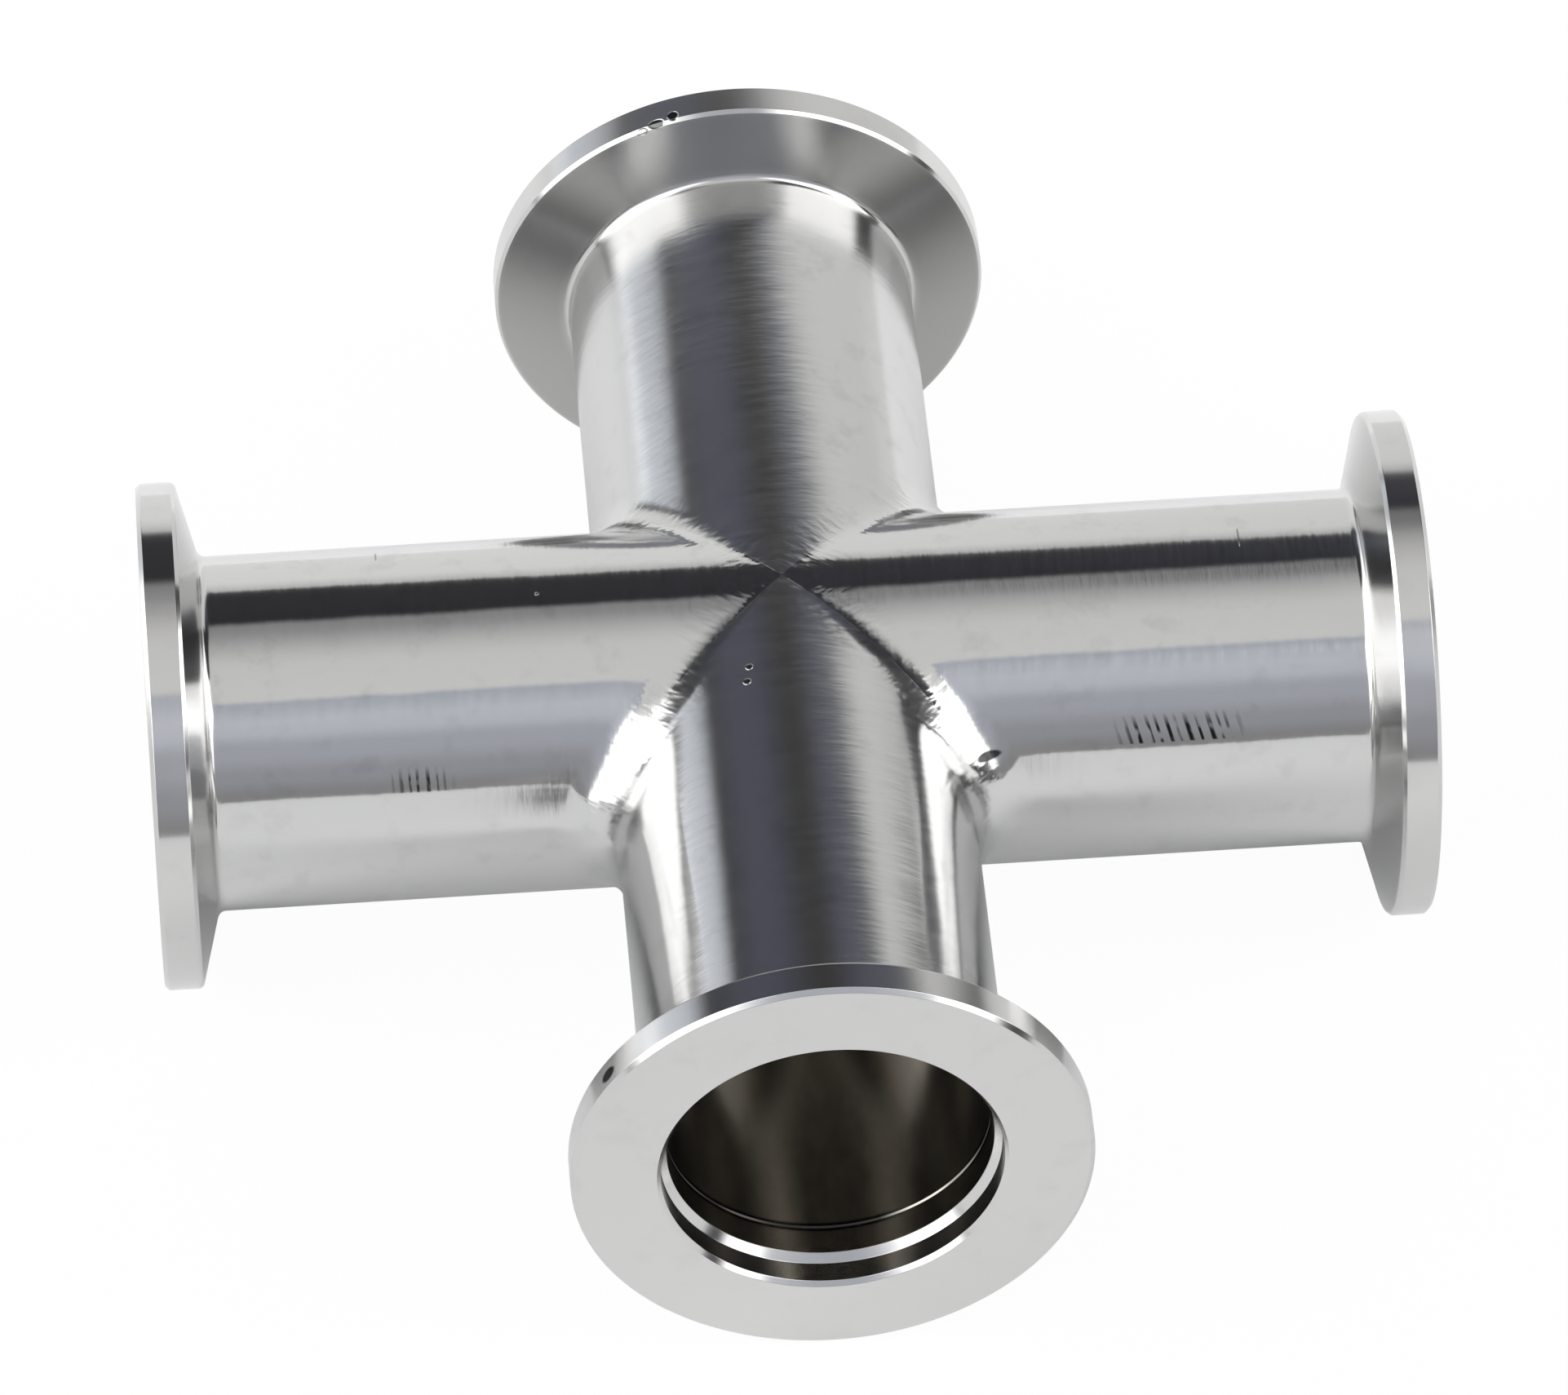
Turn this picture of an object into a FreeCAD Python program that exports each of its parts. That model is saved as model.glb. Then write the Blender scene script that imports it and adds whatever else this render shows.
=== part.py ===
"""Vacuum pipe cross, nominal bore 25 mm, in polished stainless steel.

Four equal arms lie in one plane. They are one tube formed into a cross, with a rolling blend in each crotch.
A turned clamp flange is butt-welded to the end of each arm.

Frame: millimetres, +Z up, origin where the arm axes cross. The front arm points along -Y, the back arm along
+Y, the left arm along -X and the right arm along +X.
"""
import FreeCAD, Part

import math
import os

import Sketcher
from FreeCAD import Placement, Rotation, Vector

# Driving sizes in millimetres, and one angle in degrees
SIZES = (
    ("arm_length", 50.0, "centre of the cross to the face of a flange"),
    ("tube_diameter", 28.0, "outside of the tube"),
    ("tube_wall", 1.5, "wall of the tube, the same all over the formed cross"),
    ("crotch_radius", 5.0, "outside blend between two neighbouring arms"),
    ("flange_diameter", 40.0, "outside of the rim"),
    ("rim_width", 3.0, "rim along the arm, its two chamfers included"),
    ("cone_angle", 15.0, "slope of the clamping cone behind the rim"),
    ("root_radius", 0.7, "blend from the cone to the tube"),
    ("weld_land", 0.15, "straight stub between that blend and the butt joint"),
    ("face_chamfer", 0.35, "rim edge on the sealing face"),
    ("back_chamfer", 0.25, "rim edge on the cone"),
    ("centring_step", 0.6, "how far the centring recess is cut outside the bore"),
    ("recess_depth", 2.1, "straight wall of the centring recess"),
    ("mouth_chamfer", 0.35, "edge of the recess on the sealing face"),
    ("seam_chamfer", 0.12, "both bore edges at the butt joint"),
)

# Sizes that follow from the driving ones, as formulas over the sheet
TUBE_RADIUS = "sizes.tube_diameter / 2"
BORE_RADIUS = "(sizes.tube_diameter / 2 - sizes.tube_wall)"
FLANGE_RADIUS = "sizes.flange_diameter / 2"
RECESS_RADIUS = f"({BORE_RADIUS} + sizes.centring_step)"
RECESS_END = "(sizes.recess_depth + sizes.centring_step)"
CONE_END = f"(sizes.rim_width + ({FLANGE_RADIUS} - {TUBE_RADIUS}) * tan(sizes.cone_angle))"
ROOT_END = f"({CONE_END} + sizes.root_radius * tan((90 - sizes.cone_angle) / 2))"
HUB_LENGTH = f"({ROOT_END} + sizes.weld_land)"
ARM_END = f"(sizes.arm_length - {HUB_LENGTH})"

# Each flange with the direction of its arm, as a unit step along X and Y and a turn about Z
FLANGES = (
    ("flange_right", 1, 0, 0),
    ("flange_back", 0, 1, 90),
    ("flange_left", -1, 0, 180),
    ("flange_front", 0, -1, 270),
)

# How close an edge must lie to where it is looked for
NEAR = 1e-4

doc = FreeCAD.newDocument("pipe_cross")


def make_sheet():
    """Write the driving sizes to a spreadsheet, one row each, with an alias."""
    table = doc.addObject("Spreadsheet::Sheet", "sizes")
    for row, (alias, size, meaning) in enumerate(SIZES, start=1):
        table.set(f"A{row}", alias)
        table.set(f"B{row}", str(size))
        table.set(f"C{row}", meaning)
        table.setAlias(f"B{row}", alias)
    doc.recompute()
    return table


sheet = make_sheet()


def measure(formula):
    """Value of a formula over the sheet."""
    return float(sheet.evalExpression(formula))


def sketch_on(body, plane, name):
    """Empty sketch on one of a body's own origin planes."""
    sketch = body.newObject("Sketcher::SketchObject", name)
    origin_plane = next(part for part in body.Origin.OriginFeatures if part.Role == plane)
    sketch.AttachmentSupport = [(origin_plane, "")]
    sketch.MapMode = "FlatFace"
    return sketch


def dimension(sketch, kind, places, name, formula):
    """Add a named dimension to a sketch and bind it to the sheet."""
    index = sketch.addConstraint(Sketcher.Constraint(kind, *places, measure(formula)))
    sketch.renameConstraint(index, name)
    sketch.setExpression(f"Constraints.{name}", formula)


def circle_sketch(body, plane, name, formula):
    """Sketch of one circle about the origin."""
    sketch = sketch_on(body, plane, name)
    circle = sketch.addGeometry(Part.Circle(Vector(), Vector(0, 0, 1), measure(formula)))
    sketch.addConstraint(Sketcher.Constraint("Coincident", circle, 3, -1, 1))
    dimension(sketch, "Radius", (circle,), "radius", formula)
    return sketch


def run_both_ways(body, kind, sketch, name):
    """Pad or pocket of a circle, the same length to both sides of its plane, from arm end to arm end."""
    feature = body.newObject(kind, name)
    feature.Profile = sketch
    feature.SideType = "Symmetric"
    feature.setExpression("Length", f"2 * {ARM_END}")
    doc.recompute()
    return feature


def edges_where(feature, test):
    """Names of a feature's edges that pass a test."""
    names = [f"Edge{number}" for number, edge in enumerate(feature.Shape.Edges, start=1) if test(edge)]
    if not names:
        raise RuntimeError(f"no edge found on {feature.Name}")
    return names


def is_crease(edge, radius):
    """True where an edge lies on both of two crossing tubes of this radius."""
    start, end = edge.ParameterRange
    inner_points = [edge.valueAt(start + (end - start) * share) for share in (0.2, 0.5, 0.8)]
    along_x = all(abs(Vector(0, point.y, point.z).Length - radius) < NEAR for point in inner_points)
    along_y = all(abs(Vector(point.x, 0, point.z).Length - radius) < NEAR for point in inner_points)
    return along_x and along_y


def is_ring(edge, radius, distance):
    """True where an edge is a full circle of this radius, this far from the origin along its axis."""
    if edge.Degenerated or not isinstance(edge.Curve, Part.Circle):
        return False
    return abs(edge.Curve.Radius - radius) < NEAR and abs(edge.Curve.Center.Length - distance) < NEAR


def dress(body, kind, base, edges, size_name, formula, name):
    """Fillet or chamfer some edges of a feature, with the size bound to the sheet."""
    feature = body.newObject(kind, name)
    feature.Base = (base, edges)
    feature.setExpression(size_name, formula)
    doc.recompute()
    return feature


def make_cross_body():
    """The formed tube: two crossing runs, blended outside and inside in each crotch, with an even wall."""
    body = doc.addObject("PartDesign::Body", "cross_body")
    body.Label = "cross_body"

    outside_x = circle_sketch(body, "YZ_Plane", "outside_x", TUBE_RADIUS)
    run_both_ways(body, "PartDesign::Pad", outside_x, "run_x")
    outside_y = circle_sketch(body, "XZ_Plane", "outside_y", TUBE_RADIUS)
    crossing = run_both_ways(body, "PartDesign::Pad", outside_y, "run_y")
    outer_creases = edges_where(crossing, lambda edge: is_crease(edge, measure(TUBE_RADIUS)))
    dress(body, "PartDesign::Fillet", crossing, outer_creases, "Radius", "sizes.crotch_radius", "crotches")

    # The bores cross with a wider blend about the same centres, which keeps the wall even
    bore_x = circle_sketch(body, "YZ_Plane", "inside_x", BORE_RADIUS)
    run_both_ways(body, "PartDesign::Pocket", bore_x, "bore_x")
    bore_y = circle_sketch(body, "XZ_Plane", "inside_y", BORE_RADIUS)
    bored = run_both_ways(body, "PartDesign::Pocket", bore_y, "bore_y")
    ends = edges_where(bored, lambda edge: is_ring(edge, measure(BORE_RADIUS), measure(ARM_END)))
    eased = dress(body, "PartDesign::Chamfer", bored, ends, "Size", "sizes.seam_chamfer", "seam_edges")
    inner_creases = edges_where(eased, lambda edge: is_crease(edge, measure(BORE_RADIUS)))
    inner_radius = "sizes.crotch_radius + sizes.tube_wall"
    dress(body, "PartDesign::Fillet", eased, inner_creases, "Radius", inner_radius, "inner_crotches")
    return body


def flange_profile(body):
    """Half section of a flange, with the sealing face at x = 0 and the arm towards -x."""
    stations = (
        (ROOT_END, TUBE_RADIUS),
        (HUB_LENGTH, TUBE_RADIUS),
        (HUB_LENGTH, BORE_RADIUS),
        (RECESS_END, BORE_RADIUS),
        ("sizes.recess_depth", RECESS_RADIUS),
        ("0", RECESS_RADIUS),
        ("0", FLANGE_RADIUS),
        ("sizes.rim_width", FLANGE_RADIUS),
    )
    corners = [Vector(-measure(depth), measure(radius), 0) for depth, radius in stations]

    # The root blend is an arc that meets the stub from above and the cone at the cone's own slope
    slope = math.radians(measure("sizes.cone_angle"))
    blend_radius = measure("sizes.root_radius")
    blend_circle = Part.Circle(corners[0] + Vector(0, blend_radius, 0), Vector(0, 0, 1), blend_radius)
    blend_arc = Part.ArcOfCircle(blend_circle, -math.pi / 2, -slope)
    outline = [*corners, blend_arc.EndPoint]

    sketch = sketch_on(body, "XZ_Plane", "half_section")
    lines = [
        sketch.addGeometry(Part.LineSegment(start, end))
        for start, end in zip(outline[:-1], outline[1:])
    ]
    for line, following in zip(lines[:-1], lines[1:]):
        sketch.addConstraint(Sketcher.Constraint("Coincident", line, 2, following, 1))

    stub, joint, bore, step, recess, face, rim, cone = lines
    blend = sketch.addGeometry(blend_arc)
    sketch.addConstraint(Sketcher.Constraint("Tangent", cone, 2, blend, 2))
    sketch.addConstraint(Sketcher.Constraint("Tangent", blend, 1, stub, 1))
    sketch.addConstraint(Sketcher.Constraint("PointOnObject", face, 1, -2))
    for upright in (face, joint):
        sketch.addConstraint(Sketcher.Constraint("Vertical", upright))
    for level in (rim, stub, bore, recess):
        sketch.addConstraint(Sketcher.Constraint("Horizontal", level))
    dimension(sketch, "DistanceY", (-1, 1, rim, 1), "flange_radius", FLANGE_RADIUS)
    dimension(sketch, "DistanceY", (-1, 1, stub, 1), "tube_radius", TUBE_RADIUS)
    dimension(sketch, "DistanceY", (-1, 1, bore, 1), "bore_radius", BORE_RADIUS)
    dimension(sketch, "DistanceY", (-1, 1, recess, 1), "recess_radius", RECESS_RADIUS)
    dimension(sketch, "Radius", (blend,), "root_radius", "sizes.root_radius")
    dimension(sketch, "DistanceX", (cone, 1, -1, 1), "rim_width", "sizes.rim_width")
    dimension(sketch, "DistanceX", (stub, 1, -1, 1), "root_end", ROOT_END)
    dimension(sketch, "DistanceX", (joint, 1, -1, 1), "hub_length", HUB_LENGTH)
    dimension(sketch, "DistanceX", (step, 1, -1, 1), "recess_end", RECESS_END)
    dimension(sketch, "DistanceX", (recess, 1, -1, 1), "recess_depth", "sizes.recess_depth")
    return sketch


def make_flange(label, step_x, step_y, turn):
    """One turned clamp flange, set at the end of its arm."""
    body = doc.addObject("PartDesign::Body", label)
    body.Label = label
    section = flange_profile(body)
    turned = body.newObject("PartDesign::Revolution", "turned")
    turned.Profile = section
    turned.ReferenceAxis = (section, ["H_Axis"])
    turned.Angle = 360
    doc.recompute()

    # The edges that are broken, each with its chamfer, its radius and its depth behind the face
    broken_edges = (
        ("sizes.face_chamfer", FLANGE_RADIUS, "0", "rim_face_edge"),
        ("sizes.back_chamfer", FLANGE_RADIUS, "sizes.rim_width", "rim_back_edge"),
        ("sizes.mouth_chamfer", RECESS_RADIUS, "0", "mouth_edge"),
        ("sizes.seam_chamfer", BORE_RADIUS, HUB_LENGTH, "seam_edge"),
    )
    feature = turned
    for chamfer, radius, depth, name in broken_edges:
        ring_radius = measure(radius)
        ring_depth = measure(depth)
        ring = edges_where(feature, lambda edge: is_ring(edge, ring_radius, ring_depth))
        feature = dress(body, "PartDesign::Chamfer", feature, ring, "Size", chamfer, name)

    body.Placement = Placement(Vector(), Rotation(Vector(0, 0, 1), turn))
    body.setExpression("Placement.Base.x", f"{step_x} * sizes.arm_length")
    body.setExpression("Placement.Base.y", f"{step_y} * sizes.arm_length")
    return body


def check(parts):
    """Stop if any object failed to rebuild or any sub-part isn't one sound solid."""
    for item in doc.Objects:
        if "Invalid" in item.State or "Error" in item.State:
            raise RuntimeError(f"{item.Name} failed to rebuild")
    for part in parts:
        shape = part.Shape
        if shape.isNull() or not shape.isValid() or len(shape.Solids) != 1:
            raise RuntimeError(f"{part.Label} is not one sound solid")


cross_body = make_cross_body()
flanges = [make_flange(*flange) for flange in FLANGES]
sub_parts = [cross_body, *flanges]
doc.recompute()
check(sub_parts)

os.makedirs("parts", exist_ok=True)
for sub_part in sub_parts:
    sub_part.Shape.exportStep(f"parts/{sub_part.Label}.step")
    print(sub_part.Label, f"{sub_part.Shape.Volume:.1f} mm3")
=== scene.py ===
"""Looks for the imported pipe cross: polished skins over the CAD pieces, their finishes, a studio and the camera.

Lengths are millimetres in the fields below and metres in Blender. The front arm points along -Y, the right arm
along +X, and +Z is up.
"""
import logging
import math
from dataclasses import dataclass
from enum import Enum

import bpy
from mathutils import Matrix, Vector


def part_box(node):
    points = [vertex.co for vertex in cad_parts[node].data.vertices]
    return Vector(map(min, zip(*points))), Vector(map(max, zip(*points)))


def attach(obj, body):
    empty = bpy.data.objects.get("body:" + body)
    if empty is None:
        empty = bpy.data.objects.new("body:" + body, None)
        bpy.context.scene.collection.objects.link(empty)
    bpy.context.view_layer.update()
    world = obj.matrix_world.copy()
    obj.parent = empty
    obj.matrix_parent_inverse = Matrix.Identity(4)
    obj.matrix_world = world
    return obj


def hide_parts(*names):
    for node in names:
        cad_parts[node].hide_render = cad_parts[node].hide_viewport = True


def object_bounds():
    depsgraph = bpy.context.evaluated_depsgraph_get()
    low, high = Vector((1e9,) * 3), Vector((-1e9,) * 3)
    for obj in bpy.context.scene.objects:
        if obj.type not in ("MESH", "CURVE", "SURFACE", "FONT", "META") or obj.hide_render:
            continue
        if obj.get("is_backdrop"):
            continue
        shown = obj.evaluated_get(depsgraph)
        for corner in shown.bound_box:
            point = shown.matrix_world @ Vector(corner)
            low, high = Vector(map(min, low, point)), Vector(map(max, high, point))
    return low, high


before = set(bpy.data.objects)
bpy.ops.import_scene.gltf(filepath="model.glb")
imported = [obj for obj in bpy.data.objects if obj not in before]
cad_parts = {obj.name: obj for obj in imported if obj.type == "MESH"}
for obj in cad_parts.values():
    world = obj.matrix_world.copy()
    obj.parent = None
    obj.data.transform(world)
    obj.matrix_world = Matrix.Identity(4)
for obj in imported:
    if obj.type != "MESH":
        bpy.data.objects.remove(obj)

LOG = logging.getLogger("pipe_cross")

MM = 0.001
QUARTER_TURN = math.pi / 2
FULL_TURN = 2 * math.pi
DIAGONAL = math.sqrt(0.5)
MERGE_WITHIN = 1e-6
BORE_RADIUS = 12.5

FLOAT = "NodeSocketFloat"
WHOLE = "NodeSocketInt"
VECTOR = "NodeSocketVector"
GEOMETRY = "NodeSocketGeometry"
MATERIAL = "NodeSocketMaterial"
GEOMETRY_TREE = "GeometryNodeTree"
SHADER_TREE = "ShaderNodeTree"
SKINS = {"Outside": MATERIAL, "Inside": MATERIAL}
TUBE_STEPS = ("Steps Around", "Steps Along", "Steps Across")
CHATTER_INPUTS = ("Start", "End", "Low", "High", "Pitch", "Lean")

TURN_RADIUS = "turn_radius"
TURN_DEPTH = "turn_depth"
IN_BORE = "in_bore"

# The Mix node's sockets for colours, which share their names with those for numbers and vectors.
MIX_UNDER, MIX_OVER, MIX_RESULT = 6, 7, 2
WHITE = (1.0, 1.0, 1.0)
# Black of the real marks, also used for the painted shade over the weld ring in the bore.
MARK_AND_PAINTED_SHADE_BLACK = (0.012, 0.012, 0.013)

Socket = bpy.types.NodeSocket
Number = float | int
Feed = Socket | Number | tuple[Number, ...]
Triple = tuple[float, float, float]


class Side(Enum):
    """The four arms, each with the turn about Z that brings the right arm to it."""

    RIGHT = 0
    BACK = 1
    LEFT = 2
    FRONT = 3

    @property
    def label(self) -> str:
        """Word for this side, as the node names have it."""
        return self.name.lower()


class Sheet:
    """A node tree under construction, with short calls for its nodes, links and sums."""

    def __init__(self, tree: bpy.types.NodeTree) -> None:
        """Keep the tree to build in.

        Args:
            tree: an empty geometry, shader or world tree.
        """
        self.tree = tree
        self.source: bpy.types.NodeOutputs | None = None
        self.result: Socket | None = None

    def node(self, kind: str, **settings: object) -> bpy.types.Node:
        """Add a node.

        Args:
            kind: Blender's name of the node type.
            settings: properties of the node to set.

        Returns:
            The new node.
        """
        made = self.tree.nodes.new(kind)
        for name, value in settings.items():
            setattr(made, name, value)
        return made

    def feed(self, target: Socket, value: Feed) -> None:
        """Link a socket to an input, or set the input to a plain value.

        Args:
            target: the input.
            value: an output socket, a number or a tuple.
        """
        if isinstance(value, bpy.types.NodeSocket):
            self.tree.links.new(value, target)
        else:
            target.default_value = value

    def call(self, kind: str, inputs: dict[str | int, Feed], output: str | int = 0, **settings: object) -> Socket:
        """Add a node, feed its inputs and return one output.

        Args:
            kind: Blender's name of the node type.
            inputs: what each input gets, by socket name or number.
            output: name or number of the output to return.
            settings: properties of the node to set.

        Returns:
            The chosen output socket.
        """
        made = self.node(kind, **settings)
        for name, value in inputs.items():
            self.feed(made.inputs[name], value)
        return made.outputs[output]

    def math(self, operation: str, *values: Feed) -> Socket:
        """Add a Math node.

        Args:
            operation: name of the sum.
            values: one to three sockets or numbers.

        Returns:
            The result.
        """
        return self.call("ShaderNodeMath", dict(enumerate(values)), operation=operation)

    def plus(self, first: Feed, second: Feed) -> Socket:
        """Sum of two values."""
        return self.math("ADD", first, second)

    def minus(self, first: Feed, second: Feed) -> Socket:
        """Difference of two values."""
        return self.math("SUBTRACT", first, second)

    def times(self, first: Feed, second: Feed) -> Socket:
        """Product of two values."""
        return self.math("MULTIPLY", first, second)

    def vector(self, operation: str, *values: Feed, scale: Feed | None = None, output: str = "Vector") -> Socket:
        """Add a Vector Math node.

        Args:
            operation: name of the sum.
            values: sockets or vectors.
            scale: the factor of a SCALE sum.
            output: Vector, or Value for a dot product, a length or a distance.

        Returns:
            The result.
        """
        inputs: dict[str | int, Feed] = dict(enumerate(values))
        if scale is not None:
            inputs["Scale"] = scale
        return self.call("ShaderNodeVectorMath", inputs, output, operation=operation)

    def join_xyz(self, x: Feed, y: Feed, z: Feed) -> Socket:
        """Vector from its three parts."""
        return self.call("ShaderNodeCombineXYZ", {"X": x, "Y": y, "Z": z})

    def split_xyz(self, vector: Socket) -> tuple[Socket, ...]:
        """Add the node that takes a vector apart.

        Args:
            vector: the vector.

        Returns:
            Its X, Y and Z.
        """
        parts = self.node("ShaderNodeSeparateXYZ")
        self.feed(parts.inputs[0], vector)
        return tuple(parts.outputs)

    def ramp(self, value: Feed, low: Feed, high: Feed, to_low: Feed = 0.0, to_high: Feed = 1.0) -> Socket:
        """Smooth step of a value between two marks.

        Args:
            value: what is read.
            low: value that gives to_low.
            high: value that gives to_high.
            to_low: result at and before low.
            to_high: result at and past high.

        Returns:
            The result.
        """
        inputs = {"Value": value, "From Min": low, "From Max": high, "To Min": to_low, "To Max": to_high}
        return self.call("ShaderNodeMapRange", inputs, "Result", interpolation_type="SMOOTHSTEP")

    def rising(self, value: Feed, none: Feed, full: Feed) -> Socket:
        """Straight ramp between two marks, either of which may be the larger.

        Args:
            value: what is read.
            none: value that gives 0.
            full: value that gives 1.

        Returns:
            The result, from 0 to 1.
        """
        inputs = {"Value": value, "From Min": none, "From Max": full, "To Min": 0.0, "To Max": 1.0}
        return self.call("ShaderNodeMapRange", inputs, "Result", clamp=True)

    def noise(self, place: Socket, scale: Feed, detail: float, roughness: float = 0.5, dimensions: int = 3) -> Socket:
        """Add a Noise Texture.

        Args:
            place: where it is read, a vector, or a number where it has one dimension.
            scale: how fine it is.
            detail: how many finer layers it has.
            roughness: how strong each finer layer is.
            dimensions: how many dimensions it has.

        Returns:
            The noise, from 0 to 1.
        """
        read = "W" if dimensions == 1 else "Vector"
        inputs = {read: place, "Scale": scale, "Detail": detail, "Roughness": roughness}
        return self.call("ShaderNodeTexNoise", inputs, 0, noise_dimensions=f"{dimensions}D")

    def mix(self, share: Socket, under: Feed, over: Triple) -> Socket:
        """Lay a colour over another.

        Args:
            share: how much of it is laid on, from 0 to 1.
            under: the colour below, with its alpha.
            over: the colour laid on.

        Returns:
            The mixed colour.
        """
        inputs: dict[str | int, Feed] = {"Factor": share, MIX_UNDER: under, MIX_OVER: (*over, 1.0)}
        return self.call("ShaderNodeMix", inputs, MIX_RESULT, data_type="RGBA")

    def grid(self, steps_x: Feed, steps_y: Feed) -> tuple[Socket, Socket, Socket]:
        """Add a mesh grid.

        Args:
            steps_x: number of steps in X.
            steps_y: number of steps in Y.

        Returns:
            The mesh, then how far each point lies along it in X and in Y, from 0 to 1.
        """
        counts = {"Vertices X": self.plus(steps_x, 1), "Vertices Y": self.plus(steps_y, 1)}
        mesh = self.call("GeometryNodeMeshGrid", {"Size X": 1.0, "Size Y": 1.0, **counts})
        x, y, _ = self.split_xyz(self.call("GeometryNodeInputPosition", {}))
        return mesh, self.plus(x, 0.5), self.plus(y, 0.5)

    def round_arm(self, along: Socket, radius: Socket, turned: Socket) -> Socket:
        """Add the nodes for a place round the right arm's axis.

        Args:
            along: distance along the axis.
            radius: distance from the axis.
            turned: share of a full turn.

        Returns:
            The place.
        """
        angle = self.times(turned, FULL_TURN)
        return self.join_xyz(along, *(self.times(radius, self.math(name, angle)) for name in ("COSINE", "SINE")))

    def join(self, *parts: Socket) -> Socket:
        """Add a Join Geometry node.

        Args:
            parts: the geometries.

        Returns:
            All of them as one.
        """
        joined = self.node("GeometryNodeJoinGeometry")
        for part in parts:
            self.feed(joined.inputs[0], part)
        return joined.outputs[0]

    def close(self, value: Socket) -> "Sheet":
        """Feed a group's output and give the sheet back."""
        self.feed(self.result, value)
        return self


def new_group(name: str, kind: str, inputs: dict[str, str]) -> Sheet:
    """Make an empty node group with one output, a Geometry or, in a shader group, a Mask.

    Args:
        name: name of the group.
        kind: GEOMETRY_TREE or SHADER_TREE.
        inputs: socket type of each input.

    Returns:
        A sheet on the group, with its inputs as .source and its output as .result.
    """
    tree = bpy.data.node_groups.new(name, kind)
    for label, socket_type in inputs.items():
        tree.interface.new_socket(name=label, in_out="INPUT", socket_type=socket_type)
    label, socket_type = ("Geometry", GEOMETRY) if kind == GEOMETRY_TREE else ("Mask", FLOAT)
    tree.interface.new_socket(name=label, in_out="OUTPUT", socket_type=socket_type)
    sheet = Sheet(tree)
    sheet.source = sheet.node("NodeGroupInput").outputs
    sheet.result = sheet.node("NodeGroupOutput").inputs[0]
    return sheet


class PlainMesh:
    """Turns what a geometry tree makes into a plain mesh on an object at the origin."""

    SHARP_FROM = math.radians(38)

    @staticmethod
    def from_tree(name: str, sheet: Sheet, values: dict[str, object], start: bpy.types.Mesh) -> bpy.types.Object:
        """Run a geometry tree on a start mesh and keep its result.

        Args:
            name: name of the piece.
            sheet: the geometry tree.
            values: value of each named input.
            start: mesh that the tree starts from.

        Returns:
            The piece, with no modifier left.
        """
        piece = bpy.data.objects.new(name, start)
        bpy.context.scene.collection.objects.link(piece)
        modifier = piece.modifiers.new(name, "NODES")
        modifier.node_group = sheet.tree
        for item in sheet.tree.interface.items_tree:
            if item.item_type == "SOCKET" and item.in_out == "INPUT" and item.name in values:
                modifier[item.identifier] = values[item.name]
        evaluated = piece.evaluated_get(bpy.context.evaluated_depsgraph_get())
        mesh = bpy.data.meshes.new_from_object(evaluated)
        piece.modifiers.clear()
        piece.data = mesh
        mesh.name = name
        if mesh.materials[0] is None:
            mesh.materials.pop(index=0)
        mesh.shade_smooth()
        mesh.set_sharp_from_angle(angle=PlainMesh.SHARP_FROM)
        bpy.data.meshes.remove(start)
        return piece


@dataclass(frozen=True)
class Spot:
    """A nick, bead or smear at one place, in millimetres. Shade is how black it is, from 0 to 1."""

    name: str
    centre: Triple
    reach: Triple
    height: float
    shade: float


@dataclass(frozen=True)
class Chatter:
    """A short row of tool marks on the front of a side arm, in millimetres."""

    name: str
    start: float
    end: float
    low: float
    high: float
    pitch: float
    lean: float
    shade: float


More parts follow.
